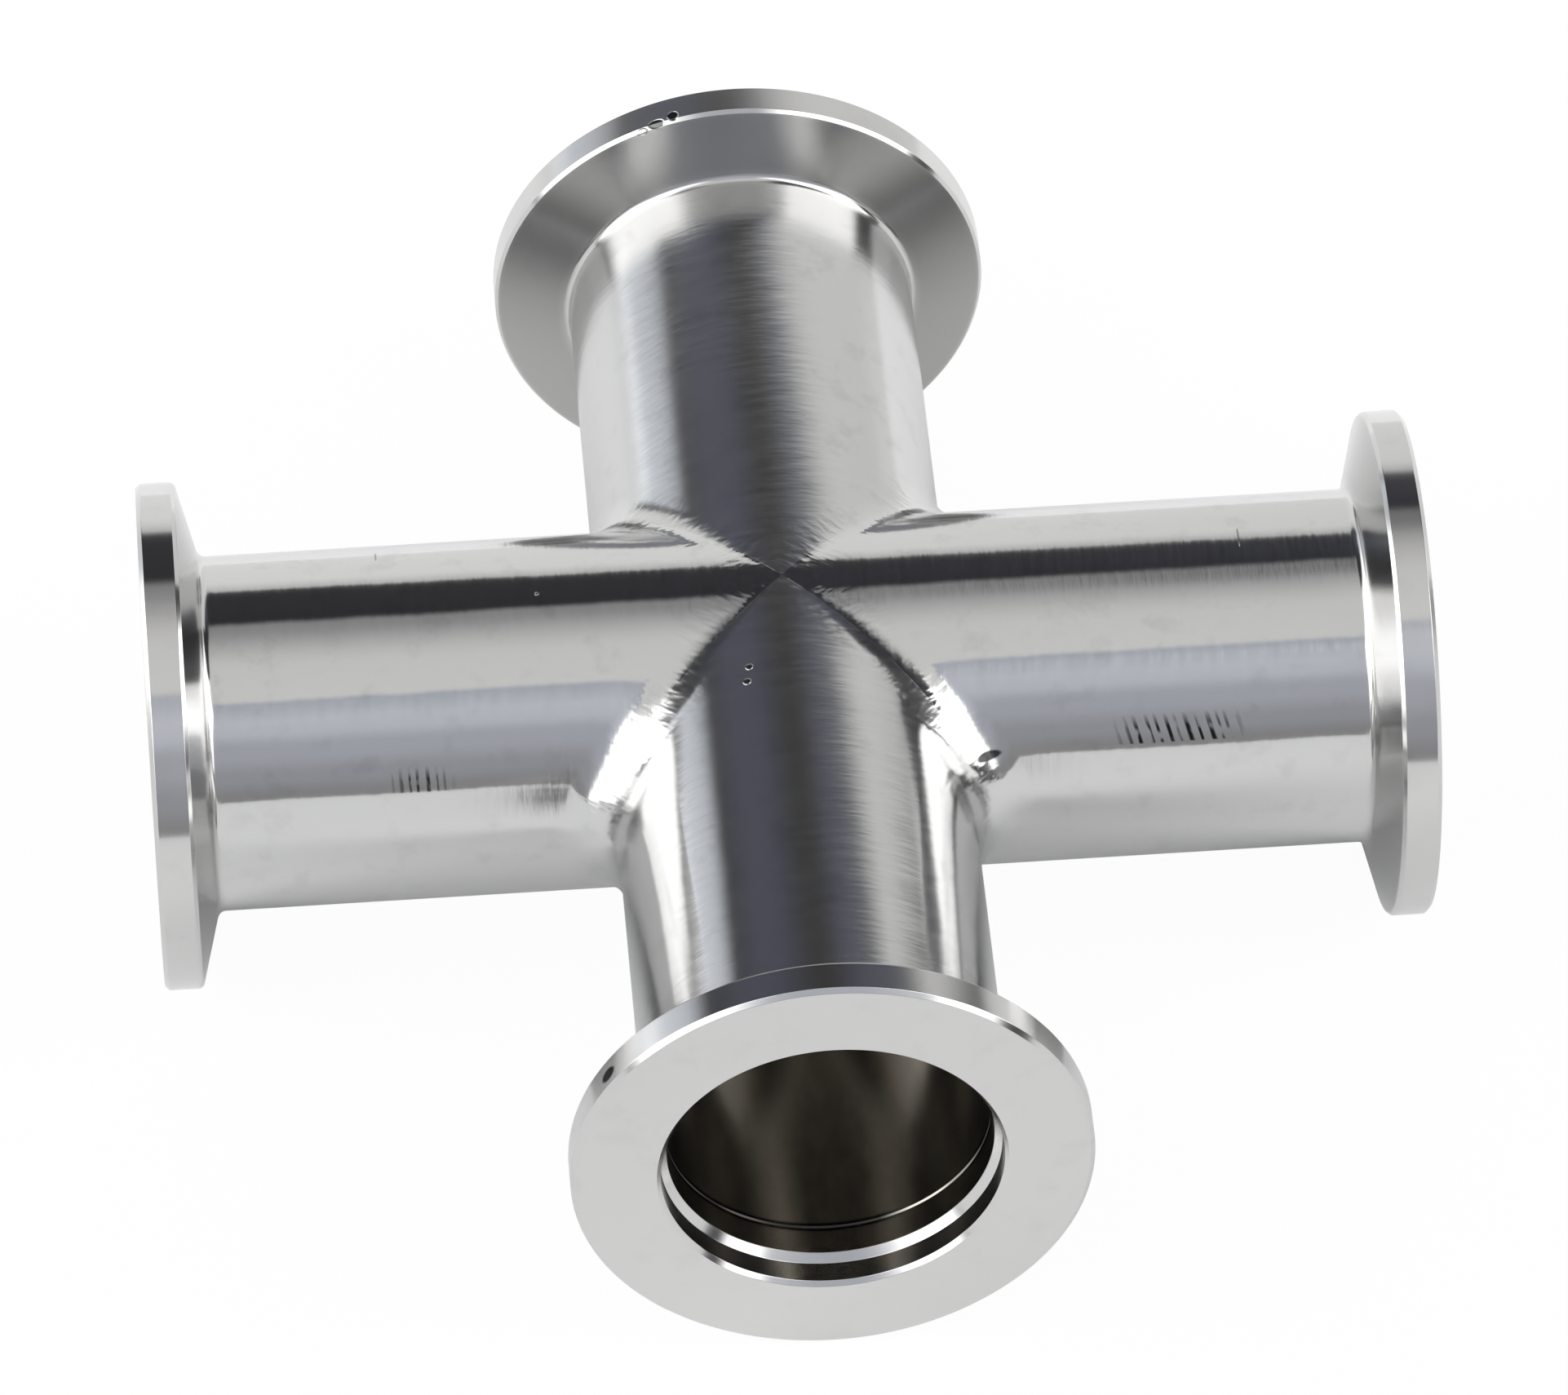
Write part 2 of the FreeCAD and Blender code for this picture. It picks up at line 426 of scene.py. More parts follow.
@dataclass(frozen=True)
class SteelFinish:
    """A bright metal finish with the fine marks that the polishing or the turning tool leaves, and, where asked,
    painted shade over the weld ring in the bore.
    """

    name: str
    colour: Triple
    roughness: float
    roughness_spread: float
    brushing: float
    mark_spacing: float
    mark_height: float
    wave_spacing: float
    wave_height: float
    stain: float
    front_back_haze: float = 0.0
    stroke_height: float = 0.0
    cone_shade: float = 0.0
    painted_weld_shade: float = 0.0
    spots: tuple[Spot, ...] = ()
    chatter: tuple[Chatter, ...] = ()

    def material(self, coordinates: "Coordinates", groups: "ShaderGroups") -> bpy.types.Material:
        """Build the material.

        Args:
            coordinates: what the marks follow.
            groups: the shared shader groups.

        Returns:
            The material, with one Principled shader.
        """
        made = bpy.data.materials.new(self.name)
        made.use_nodes = True
        sheet = Sheet(made.node_tree)
        shader = made.node_tree.nodes["Principled BSDF"]
        shader.inputs["Metallic"].default_value = 1.0
        shader.inputs["Anisotropic"].default_value = self.brushing
        sheet.feed(shader.inputs["Tangent"], coordinates.across(sheet))
        place = coordinates.socket(sheet)
        marks = groups.place(sheet, groups.marks, {"Place": place, "Spacing": self.mark_spacing})
        waves = groups.place(sheet, groups.waves, {"Place": place, "Spacing": self.wave_spacing})
        whole_place = Coordinates.in_mm(sheet)
        stains = groups.place(sheet, groups.stains, {"Place": whole_place})

        fine = sheet.times(marks, self.mark_height)
        height = sheet.math("MULTIPLY_ADD", waves, self.wave_height, fine)
        roughness = sheet.math("MULTIPLY_ADD", marks, self.roughness_spread, self.roughness)
        if self.front_back_haze > 0:
            _, front_back = Coordinates.arms(sheet, whole_place)
            roughness = sheet.math("MULTIPLY_ADD", front_back, self.front_back_haze, roughness)
        if self.stroke_height > 0:
            strokes = groups.place(sheet, groups.strokes, {"Place": whole_place})
            height = sheet.math("MULTIPLY_ADD", strokes, self.stroke_height, height)

        dark: list[tuple[Socket, float]] = []
        if self.cone_shade > 0:
            dark.append((groups.place(sheet, groups.cone, {"Place": coordinates.turned(sheet)}), self.cone_shade))
        # The weld ring in the bore is darkened as painted shade, all but one arc.
        if self.painted_weld_shade > 0:
            dark.append((groups.place(sheet, groups.weld, {"Place": whole_place}), self.painted_weld_shade))
        for spot in self.spots:
            inputs = {"Place": whole_place, "Centre": spot.centre, "Reach": spot.reach}
            mask = groups.place(sheet, groups.spot, inputs, spot.name)
            if spot.height:
                height = sheet.math("MULTIPLY_ADD", mask, spot.height, height)
            dark.append((mask, spot.shade))
        for row in self.chatter:
            inputs = {"Place": whole_place, **{name: getattr(row, name.lower()) for name in CHATTER_INPUTS}}
            dark.append((groups.place(sheet, groups.chatter, inputs, row.name), row.shade))
        shade = sheet.times(stains, self.stain)
        for mask, strength in dark:
            shade = sheet.math("MAXIMUM", shade, sheet.times(mask, strength))

        sheet.feed(shader.inputs["Base Color"], sheet.mix(shade, (*self.colour, 1.0), MARK_AND_PAINTED_SHADE_BLACK))
        sheet.feed(shader.inputs["Roughness"], roughness)
        bump = sheet.node("ShaderNodeBump")
        bump.inputs["Strength"].default_value = 1.0
        bump.inputs["Distance"].default_value = MM
        sheet.feed(bump.inputs["Height"], height)
        sheet.feed(shader.inputs["Normal"], bump.outputs["Normal"])
        return made


class Coordinates(Enum):
    """What a finish's marks follow, as a vector whose X runs across the marks, in millimetres."""

    ARM = "distance from the crossing"
    BORE = "way round the bore"
    TURNED = "radius and depth"

    def socket(self, sheet: Sheet) -> Socket:
        """Add the nodes that read this place.

        Args:
            sheet: the material's tree.

        Returns:
            The place in millimetres, with the marks' own direction along X.
        """
        if self is Coordinates.TURNED:
            radius, depth, _ = sheet.split_xyz(self.turned(sheet))
            across = sheet.plus(radius, depth)
            around = sheet.minus(radius, depth)
            return sheet.join_xyz(across, around, 0.0)
        place = self.in_mm(sheet)
        x, y, z = sheet.split_xyz(place)
        on_x, on_y = self.arms(sheet, place)
        along = sheet.plus(sheet.times(x, on_x), sheet.times(y, on_y))
        side = sheet.plus(sheet.times(y, on_x), sheet.times(x, on_y))
        if self is Coordinates.BORE:
            return sheet.join_xyz(sheet.times(sheet.math("ARCTAN2", z, side), BORE_RADIUS), along, 0.0)
        return sheet.join_xyz(along, side, z)

    @staticmethod
    def turned(sheet: Sheet) -> Socket:
        """Add the nodes for the place in a flange's section.

        Args:
            sheet: the material's tree.

        Returns:
            The radius, then the depth behind the flange's face, in millimetres.
        """
        radius = sheet.call("ShaderNodeAttribute", {}, "Fac", attribute_name=TURN_RADIUS)
        depth = sheet.call("ShaderNodeAttribute", {}, "Fac", attribute_name=TURN_DEPTH)
        return sheet.join_xyz(radius, depth, 0.0)

    @staticmethod
    def arms(sheet: Sheet, place: Socket) -> tuple[Socket, Socket]:
        """Add the nodes that tell the left and right arms from the front and back ones.

        Args:
            sheet: the material's tree.
            place: the place on the whole part.

        Returns:
            Two masks, 1 on the left and right arms, and 1 on the front and back arms.
        """
        x, y, _ = sheet.split_xyz(place)
        on_y = sheet.math("GREATER_THAN", sheet.math("ABSOLUTE", y), sheet.math("ABSOLUTE", x))
        return sheet.minus(1.0, on_y), on_y

    @staticmethod
    def in_mm(sheet: Sheet) -> Socket:
        """Add the nodes for the place on the whole part, in millimetres."""
        return sheet.vector("SCALE", sheet.call("ShaderNodeTexCoord", {}, "Object"), scale=1 / MM)

    def across(self, sheet: Sheet) -> Socket:
        """Add the nodes for the direction in which the marks spread the light.

        Args:
            sheet: the material's tree.

        Returns:
            The arm's axis for marks that run round it, or the way outwards for marks turned on a flange.
        """
        place = sheet.call("ShaderNodeTexCoord", {}, "Object")
        x, y, z = sheet.split_xyz(place)
        on_x, on_y = self.arms(sheet, place)
        if self is not Coordinates.TURNED:
            return sheet.join_xyz(on_x, on_y, 0.0)
        outwards = sheet.join_xyz(sheet.times(x, on_y), sheet.times(y, on_x), z)
        axis = sheet.join_xyz(sheet.times(x, on_x), sheet.times(y, on_y), 0.0)
        return sheet.vector("ADD", outwards, axis)


class ShaderGroups:
    """The surface effects of the finishes, each a group with a Mask from 0 to 1."""

    def __init__(self) -> None:
        """Build each group once."""
        self.marks = self.make_marks()
        self.waves = self.make_waves()
        self.stains = self.make_stains()
        self.strokes = self.make_strokes()
        self.spot = self.make_spot()
        self.chatter = self.make_chatter()
        self.cone = self.make_cone()
        self.weld = self.make_weld()

    @staticmethod
    def place(sheet: Sheet, group: Sheet, inputs: dict[str, Feed], label: str = "") -> Socket:
        """Add a group to a material.

        Args:
            sheet: the material's tree.
            group: the group.
            inputs: what each input gets.
            label: what the node is called in the tree.

        Returns:
            The group's Mask.
        """
        node = sheet.node("ShaderNodeGroup", node_tree=group.tree, label=label)
        for name, value in inputs.items():
            sheet.feed(node.inputs[name], value)
        return node.outputs["Mask"]

    @staticmethod
    def make_marks() -> Sheet:
        """Fine lines across the X of the place, which fade in and out along their length.

        Returns:
            The group.
        """
        fading = 0.28
        sheet = new_group("polishing_marks", SHADER_TREE, {"Place": VECTOR, "Spacing": FLOAT})
        x, y, z = sheet.split_xyz(sheet.source["Place"])
        across = sheet.math("DIVIDE", x, sheet.source["Spacing"])
        stretched = sheet.join_xyz(across, sheet.times(y, fading), sheet.times(z, fading))
        return sheet.close(sheet.noise(stretched, 1.0, detail=2.0, roughness=0.55))

    @staticmethod
    def make_waves() -> Sheet:
        """Slow unevenness of a surface polished by hand.

        Returns:
            The group.
        """
        sheet = new_group("polished_waves", SHADER_TREE, {"Place": VECTOR, "Spacing": FLOAT})
        scale = sheet.math("DIVIDE", 1.0, sheet.source["Spacing"])
        return sheet.close(sheet.noise(sheet.source["Place"], scale, detail=1.0))

    @staticmethod
    def make_stains() -> Sheet:
        """Faint clouds of duller metal.

        Returns:
            The group.
        """
        clear, dull = 0.52, 0.74
        sheet = new_group("dull_clouds", SHADER_TREE, {"Place": VECTOR})
        noise = sheet.noise(sheet.source["Place"], 0.35, detail=3.0, roughness=0.6)
        return sheet.close(sheet.ramp(noise, clear, dull))

    @staticmethod
    def make_strokes() -> Sheet:
        """Feathered strokes across the crease between two arms, where the polishing wheel turned off.

        Returns:
            The group.
        """
        per_mm, fading, reach = 0.95, 0.3, 5.0
        unlike_x, unlike_y = 0.3, 0.9
        sheet = new_group("crease_strokes", SHADER_TREE, {"Place": VECTOR})
        x, y, z = sheet.split_xyz(sheet.source["Place"])
        ahead, aside = sheet.math("ABSOLUTE", x), sheet.math("ABSOLUTE", y)
        gap = sheet.math("ABSOLUTE", sheet.minus(ahead, aside))
        down_crease = sheet.minus(sheet.plus(ahead, aside), z)
        own = sheet.math("MULTIPLY_ADD", x, unlike_x, sheet.times(y, unlike_y))
        stretched = sheet.join_xyz(sheet.times(down_crease, per_mm), sheet.times(gap, fading), own)
        noise = sheet.noise(stretched, 1.0, detail=1.0, roughness=0.4)
        return sheet.close(sheet.times(noise, sheet.ramp(gap, 0.0, reach, 1.0, 0.0)))

    @staticmethod
    def make_spot() -> Sheet:
        """A soft-edged spot round one place.

        Returns:
            The group.
        """
        full_within, none_past = 0.75, 1.1
        sheet = new_group("spot", SHADER_TREE, {"Place": VECTOR, "Centre": VECTOR, "Reach": VECTOR})
        source = sheet.source
        offset = sheet.vector("DIVIDE", sheet.vector("SUBTRACT", source["Place"], source["Centre"]), source["Reach"])
        far = sheet.vector("LENGTH", offset, output="Value")
        return sheet.close(sheet.ramp(far, full_within, none_past, 1.0, 0.0))

    @staticmethod
    def make_cone() -> Sheet:
        """The clamping cone behind the rim, darker in colour than the face.

        Returns:
            The group.
        """
        rim_end, cone_full = 3.02, 3.15
        root_end, cone_foot = 14.2, 15.0
        sheet = new_group("clamping_cone", SHADER_TREE, {"Place": VECTOR})
        radius, depth, _ = sheet.split_xyz(sheet.source["Place"])
        behind_rim = sheet.rising(depth, rim_end, cone_full)
        outside_root = sheet.rising(radius, root_end, cone_foot)
        return sheet.close(sheet.times(behind_rim, outside_root))

    @staticmethod
    def make_weld() -> Sheet:
        """The ring of the butt weld in the bore, darkened as painted shade that hides its reflection all round but
        for an arc in the front arm.

        Returns:
            The group.
        """
        weld_along, ring_clear, ring_full = 44.7, 0.5, 0.3
        arc_start, arc_full_from, arc_full_to, arc_end = -1.25, -1.05, -0.6, -0.35
        front_arm_from = -40.0
        sheet = new_group("weld_ring_painted_shade", SHADER_TREE, {"Place": VECTOR})
        x, y, z = sheet.split_xyz(sheet.source["Place"])
        along = sheet.math("MAXIMUM", sheet.math("ABSOLUTE", x), sheet.math("ABSOLUTE", y))
        off = sheet.math("ABSOLUTE", sheet.minus(along, weld_along))
        ring = sheet.rising(off, ring_clear, ring_full)
        angle = sheet.math("ARCTAN2", z, x)
        arc = sheet.times(
            sheet.rising(angle, arc_start, arc_full_from), sheet.rising(angle, arc_end, arc_full_to)
        )
        # The arc in the front arm is left out of the painted shade, so the ring's chamfer catches the light there.
        bright = sheet.times(arc, sheet.math("LESS_THAN", y, front_arm_from))
        return sheet.close(sheet.times(ring, sheet.minus(1.0, bright)))

    @staticmethod
    def make_chatter() -> Sheet:
        """A short row of thin dark strokes round the front of a side arm.

        Returns:
            The group.
        """
        wander, even_across = 0.5, 0.5
        fade_in, fade_out, fade_low, fade_high = 2.0, 2.5, 0.1, 0.9
        front_from, front_full = -5.0, -6.0
        stroke_edge, grain_edge = (0.1, 0.8), (0.25, 0.55)
        sheet = new_group("chatter_row", SHADER_TREE, {"Place": VECTOR, **dict.fromkeys(CHATTER_INPUTS, FLOAT)})
        source = sheet.source
        x, y, z = sheet.split_xyz(source["Place"])
        rise = sheet.minus(z, source["Low"])
        leaned = sheet.math("MULTIPLY_ADD", rise, source["Lean"], x)
        wobble = sheet.noise(leaned, 0.8, detail=0.0, dimensions=1)
        phase = sheet.math("MULTIPLY_ADD", wobble, wander, sheet.math("DIVIDE", leaned, source["Pitch"]))
        wave = sheet.math("SINE", sheet.times(phase, FULL_TURN))
        grain = sheet.join_xyz(leaned, sheet.times(rise, even_across), 0.0)
        uneven = sheet.noise(grain, 1.6, detail=1.0, dimensions=2)
        row = sheet.times(sheet.ramp(wave, *stroke_edge), sheet.ramp(uneven, *grain_edge))
        for value, none, full in (
            (x, source["Start"], sheet.plus(source["Start"], fade_in)),
            (x, source["End"], sheet.minus(source["End"], fade_out)),
            (z, source["Low"], sheet.plus(source["Low"], fade_low)),
            (z, source["High"], sheet.minus(source["High"], fade_high)),
            (y, front_from, front_full),
        ):
            row = sheet.times(row, sheet.rising(value, none, full))
        return sheet.close(row)


@dataclass
class FormedTube:
    """The cross-shaped tube: four arms and the rolling blend in each crotch, outside and inside."""

    node: str = "cross_body"
    piece_name: str = "formed_cross_tube"
    slot: str = "polished_tube"
    tube_wall: float = 1.5
    crotch_radius: float = 5.0
    seam_chamfer: float = 0.12
    steps_around: int = 256
    steps_along: int = 20
    steps_across: int = 16

    def __post_init__(self) -> None:
        """Take the tube's radius and the arms' ends from the frame."""
        _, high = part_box(self.node)
        self.tube_radius = high.z / MM
        self.arm_end = high.x / MM

    def build(self, outside: bpy.types.Material, inside: bpy.types.Material) -> bpy.types.Object:
        """Make the tube and put it in the CAD piece's place.

        Args:
            outside: finish of the outer skin.
            inside: finish of the bore.

        Returns:
            The piece.
        """
        values = {
            "Tube Radius": self.tube_radius * MM,
            "Bore Radius": (self.tube_radius - self.tube_wall) * MM,
            "Crotch Radius": self.crotch_radius * MM,
            "Arm End": self.arm_end * MM,
            "Seam Chamfer": self.seam_chamfer * MM,
            "Steps Around": self.steps_around,
            "Steps Along": self.steps_along,
            "Steps Across": self.steps_across,
            "Outside": outside,
            "Inside": inside,
        }
        piece = PlainMesh.from_tree(self.piece_name, self.tube_tree(), values, bpy.data.meshes.new("start"))
        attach(piece, "root")
        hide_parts(self.node)
        return piece

    def tube_tree(self) -> Sheet:
        """Geometry tree of the whole tube: one quarter of both skins and the joint's ring, four times.

        Returns:
            The tree.
        """
        lengths = ("Tube Radius", "Bore Radius", "Crotch Radius", "Arm End", "Seam Chamfer")
        inputs = {"Geometry": GEOMETRY, **dict.fromkeys(lengths, FLOAT), **dict.fromkeys(TUBE_STEPS, WHOLE), **SKINS}
        sheet = new_group("formed_tube", GEOMETRY_TREE, inputs)
        source = sheet.source
        skin, ring = self.skin_tree(), self.ring_tree()
        arm_end, tube_radius, bore_radius = source["Arm End"], source["Tube Radius"], source["Bore Radius"]
        inner_crotch = sheet.plus(source["Crotch Radius"], sheet.minus(tube_radius, bore_radius))
        bore_end = sheet.minus(arm_end, source["Seam Chamfer"])
        eased_radius = sheet.plus(bore_radius, source["Seam Chamfer"])
        steps = [source[name] for name in TUBE_STEPS]

        def part(group: Sheet, *values: Socket) -> Socket:
            """One quarter of a skin or a ring, from the group's inputs in their order."""
            node = sheet.node("GeometryNodeGroup", node_tree=group.tree)
            for target, value in zip(node.inputs, values):
                sheet.feed(target, value)
            return node.outputs[0]

        outer = part(skin, tube_radius, source["Crotch Radius"], arm_end, *steps)
        outer = sheet.call("GeometryNodeSetMaterial", {"Geometry": outer, "Material": source["Outside"]})
        inner = part(skin, bore_radius, inner_crotch, bore_end, *steps)
        inner = sheet.call("GeometryNodeFlipFaces", {"Mesh": inner})
        chamfer = part(ring, bore_end, bore_radius, arm_end, eased_radius, steps[0])
        joint = part(ring, arm_end, eased_radius, arm_end, tube_radius, steps[0])
        bore = sheet.join(inner, chamfer, joint)
        bore = sheet.call("GeometryNodeSetMaterial", {"Geometry": bore, "Material": source["Inside"]})
        quarter = sheet.join(outer, bore)

        turns = sheet.call("GeometryNodeMeshLine", {"Count": 4, "Offset": (0.0, 0.0, 0.0)})
        index = sheet.call("GeometryNodeInputIndex", {})
        turn = sheet.join_xyz(0.0, 0.0, sheet.times(index, QUARTER_TURN))
        inputs = {"Points": turns, "Instance": quarter, "Rotation": turn}
        placed = sheet.call("GeometryNodeInstanceOnPoints", inputs)
        real = sheet.call("GeometryNodeRealizeInstances", {"Geometry": placed})
        return sheet.close(sheet.call("GeometryNodeMergeByDistance", {"Geometry": real, "Distance": MERGE_WITHIN}))

    @staticmethod
    def skin_tree() -> Sheet:
        """One arm and the crotch beside it, as a skin of one radius.

        A ball that rolls along the crotch touches both tubes. Its centre lies at tube radius plus ball radius
        from both axes, so the arm's skin starts below that centre and the crotch is the ball's own arc.

        Returns:
            The tree.
        """
        inputs = {"Radius": FLOAT, "Crotch Radius": FLOAT, "Arm End": FLOAT, **dict.fromkeys(TUBE_STEPS, WHOLE)}
        sheet = new_group("tube_skin", GEOMETRY_TREE, inputs)
        source = sheet.source
        reach = sheet.plus(source["Radius"], source["Crotch Radius"])

        mesh, along, around = sheet.grid(source["Steps Along"], source["Steps Around"])
        cosine = sheet.math("COSINE", sheet.times(around, FULL_TURN))
        start = sheet.times(reach, sheet.math("ABSOLUTE", cosine))
        along_arm = sheet.math("MULTIPLY_ADD", along, sheet.minus(source["Arm End"], start), start)
        place = sheet.round_arm(along_arm, source["Radius"], around)
        arm = sheet.call("GeometryNodeSetPosition", {"Geometry": mesh, "Position": place})
        arm = sheet.call("GeometryNodeFlipFaces", {"Mesh": arm})

        half_steps = sheet.math("DIVIDE", source["Steps Around"], 2)
        mesh, across, height = sheet.grid(source["Steps Across"], half_steps)
        lean = sheet.times(sheet.minus(height, 0.5), math.pi)
        cosine = sheet.math("COSINE", lean)
        sine = sheet.math("SINE", lean)
        centre = sheet.vector("SCALE", sheet.join_xyz(cosine, cosine, sine), scale=reach)
        sideways_in = sheet.times(cosine, -1.0)
        middle = sheet.vector("NORMALIZE", sheet.join_xyz(sideways_in, sideways_in, sheet.times(sine, -2.0)))
        half_arc = sheet.math("ARCSINE", sheet.times(cosine, DIAGONAL))
        swing = sheet.times(sheet.math("MULTIPLY_ADD", across, 2.0, -1.0), half_arc)
        sideways = (-DIAGONAL, DIAGONAL, 0.0)
        direction = sheet.vector(
            "ADD",
            sheet.vector("SCALE", middle, scale=sheet.math("COSINE", swing)),
            sheet.vector("SCALE", sideways, scale=sheet.math("SINE", swing)),
        )
        place = sheet.vector("ADD", centre, sheet.vector("SCALE", direction, scale=source["Crotch Radius"]))
        crotch = sheet.call("GeometryNodeSetPosition", {"Geometry": mesh, "Position": place})
        return sheet.close(sheet.join(arm, crotch))

    @staticmethod
    def ring_tree() -> Sheet:
        """A ring round the right arm between two circles.

        Returns:
            The tree.
        """
        lengths = ("Start", "Start Radius", "End", "End Radius")
        sheet = new_group("joint_ring", GEOMETRY_TREE, {**dict.fromkeys(lengths, FLOAT), "Steps Around": WHOLE})
        start, start_radius, end, end_radius = (sheet.source[name] for name in lengths)
        mesh, share, around = sheet.grid(1, sheet.source["Steps Around"])
        along = sheet.math("MULTIPLY_ADD", share, sheet.minus(end, start), start)
        radius = sheet.math("MULTIPLY_ADD", share, sheet.minus(end_radius, start_radius), start_radius)
        place = sheet.round_arm(along, radius, around)
        return sheet.close(sheet.call("GeometryNodeSetPosition", {"Geometry": mesh, "Position": place}))


@dataclass(frozen=True)
class Corner:
    """A corner of the flange's section, with how much it is rounded."""

    depth: float
    radius: float
    edge_round: float
    in_bore: bool = False

    @property
    def point(self) -> Vector:
        """Place in the section: depth behind the face, and radius."""
        return Vector((self.depth, self.radius))


@dataclass
class ClampFlange:
    """A turned clamp flange: sealing face, rim, clamping cone, root blend, stub, bore and centring recess."""

    side: Side
    slot: str = "turned_flange"
    rim_width: float = 3.0
    cone_angle: float = 15.0
    root_radius: float = 0.7
    face_chamfer: float = 0.35
    back_chamfer: float = 0.25
    centring_step: float = 0.6
    recess_depth: float = 2.1
    mouth_chamfer: float = 0.35
    seam_chamfer: float = 0.12
    tube_wall: float = 1.5
    edge_round: float = 0.05
    support: float = 0.03
    steps_around: int = 256
    steps_per_round: int = 3
    steps_per_root: int = 8

    def __post_init__(self) -> None:
        """Take the overall sizes from the frame."""
        low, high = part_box(self.node)
        _, tube_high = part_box("cross_body")
        self.flange_radius = high.z / MM
        self.tube_radius = tube_high.z / MM
        self.arm_length = max(high.x, high.y, -low.x, -low.y) / MM
        self.hub_length = self.arm_length - tube_high.x / MM
        self.bore_radius = self.tube_radius - self.tube_wall

    @property
    def node(self) -> str:
        """Name of the CAD piece."""
        return f"flange_{self.side.label}"

    def corners(self) -> list[Corner]:
        """Corners of the section, from the mouth round the outside and back through the bore.

        Returns:
            The corners in order, each with its round.
        """
        slope = math.radians(self.cone_angle)
        cone_end = self.rim_width + (self.flange_radius - self.tube_radius) * math.tan(slope)
        back_depth = self.rim_width + self.back_chamfer * math.sin(slope)
        back_radius = self.flange_radius - self.back_chamfer * math.cos(slope)
        recess = self.bore_radius + self.centring_step
        edge = self.edge_round
        return [
            Corner(0.0, recess + self.mouth_chamfer, edge),
            Corner(0.0, self.flange_radius - self.face_chamfer, edge),
            Corner(self.face_chamfer, self.flange_radius, edge),
            Corner(self.rim_width - self.back_chamfer, self.flange_radius, edge),
            Corner(back_depth, back_radius, edge),
            Corner(cone_end, self.tube_radius, self.root_radius),
            Corner(self.hub_length, self.tube_radius, 0.0),
            Corner(self.hub_length, self.bore_radius + self.seam_chamfer, 0.0, True),
            Corner(self.hub_length - self.seam_chamfer, self.bore_radius, 0.0, True),
            Corner(self.recess_depth + self.centring_step, self.bore_radius, edge, True),
            Corner(self.recess_depth, recess, edge),
            Corner(self.mouth_chamfer, recess, edge),
        ]

    def section(self) -> list[tuple[float, float, bool]]:
        """Points of the section, with rounds as arcs and a support point beside each.

        Returns:
            Depth, radius and whether the point belongs to the bore, in order round the section.
        """
        corners = self.corners()
        points: list[tuple[float, float, bool]] = []
        for number, corner in enumerate(corners):
            before = corners[number - 1]
            after = corners[(number + 1) % len(corners)]
            for point in self.rounded(before.point, corner, after.point):
                points.append((point.x, point.y, corner.in_bore))
        return points

    def rounded(self, before: Vector, corner: Corner, after: Vector) -> list[Vector]:
        """Arc that rounds one corner, with a support point on the run at each side.

        Args:
            before: the corner before this one.
            corner: the corner.
            after: the corner after this one.

        Returns:
            The points in order.
        """
        backwards = (before - corner.point).normalized()
        forwards = (after - corner.point).normalized()
        if corner.edge_round == 0:
            return [corner.point + backwards * self.support, corner.point, corner.point + forwards * self.support]
        half_angle = backwards.angle(forwards) / 2
        tangent = corner.edge_round / math.tan(half_angle)
        centre = corner.point + (backwards + forwards).normalized() * (corner.edge_round / math.sin(half_angle))
        first = corner.point + backwards * tangent - centre
        last = corner.point + forwards * tangent - centre
        steps = self.steps_per_root if corner.edge_round == self.root_radius else self.steps_per_round
        arc = [centre + slerp(first, last, step / steps) for step in range(steps + 1)]
        return [
            corner.point + backwards * (tangent + self.support),
            *arc,
            corner.point + forwards * (tangent + self.support),
        ]

    def build(self, outside: bpy.types.Material, inside: bpy.types.Material) -> bpy.types.Object:
        """Turn the section round the arm's axis and put the flange in the CAD piece's place.

        Args:
            outside: finish of the face, rim, cone and stub.
            inside: finish of the bore and the recess.

        Returns:
            The piece.
        """
        points = self.section()
        wire = bpy.data.meshes.new("section")
        wire.from_pydata([(depth * MM, radius * MM, float(in_bore)) for depth, radius, in_bore in points], [], [])
        values = {
            "Section Points": len(points),
            "Steps Around": self.steps_around,
            "Arm Length": self.arm_length * MM,
            "Turn": self.side.value * QUARTER_TURN,
            "Outside": outside,
            "Inside": inside,
        }
        piece = PlainMesh.from_tree(f"clamp_{self.node}", self.turned_tree(), values, wire)
        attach(piece, "root")
        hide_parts(self.node)
        return piece

    @staticmethod
    def turned_tree() -> Sheet:
        """Geometry tree that turns a section round the axis of an arm.

        Each point of the start mesh is one point of the section: depth, radius, and 1 where it lies in the bore.

        Returns:
            The tree.
        """
        counts, lengths = ("Section Points", "Steps Around"), ("Arm Length", "Turn")
        inputs = {"Geometry": GEOMETRY, **dict.fromkeys(counts, WHOLE), **dict.fromkeys(lengths, FLOAT), **SKINS}
        sheet = new_group("turned_flange", GEOMETRY_TREE, inputs)
        source = sheet.source
        mesh, _, around = sheet.grid(source["Section Points"], source["Steps Around"])
        index = sheet.call("GeometryNodeInputIndex", {})
        columns = sheet.plus(source["Steps Around"], 1)
        row = sheet.math("FLOOR", sheet.math("DIVIDE", sheet.plus(index, 0.5), columns))
        row = sheet.math("MODULO", row, source["Section Points"])
        position = sheet.call("GeometryNodeInputPosition", {})
        inputs = {"Geometry": source["Geometry"], "Value": position, "Index": row}
        sample = sheet.call("GeometryNodeSampleIndex", inputs, data_type="FLOAT_VECTOR")
        depth, radius, in_bore = sheet.split_xyz(sample)
        place = sheet.round_arm(sheet.minus(source["Arm Length"], depth), radius, around)
        shape = mesh
        radius_in_mm, depth_in_mm = (sheet.math("DIVIDE", value, MM) for value in (radius, depth))
        for name, value in ((TURN_RADIUS, radius_in_mm), (TURN_DEPTH, depth_in_mm), (IN_BORE, in_bore)):
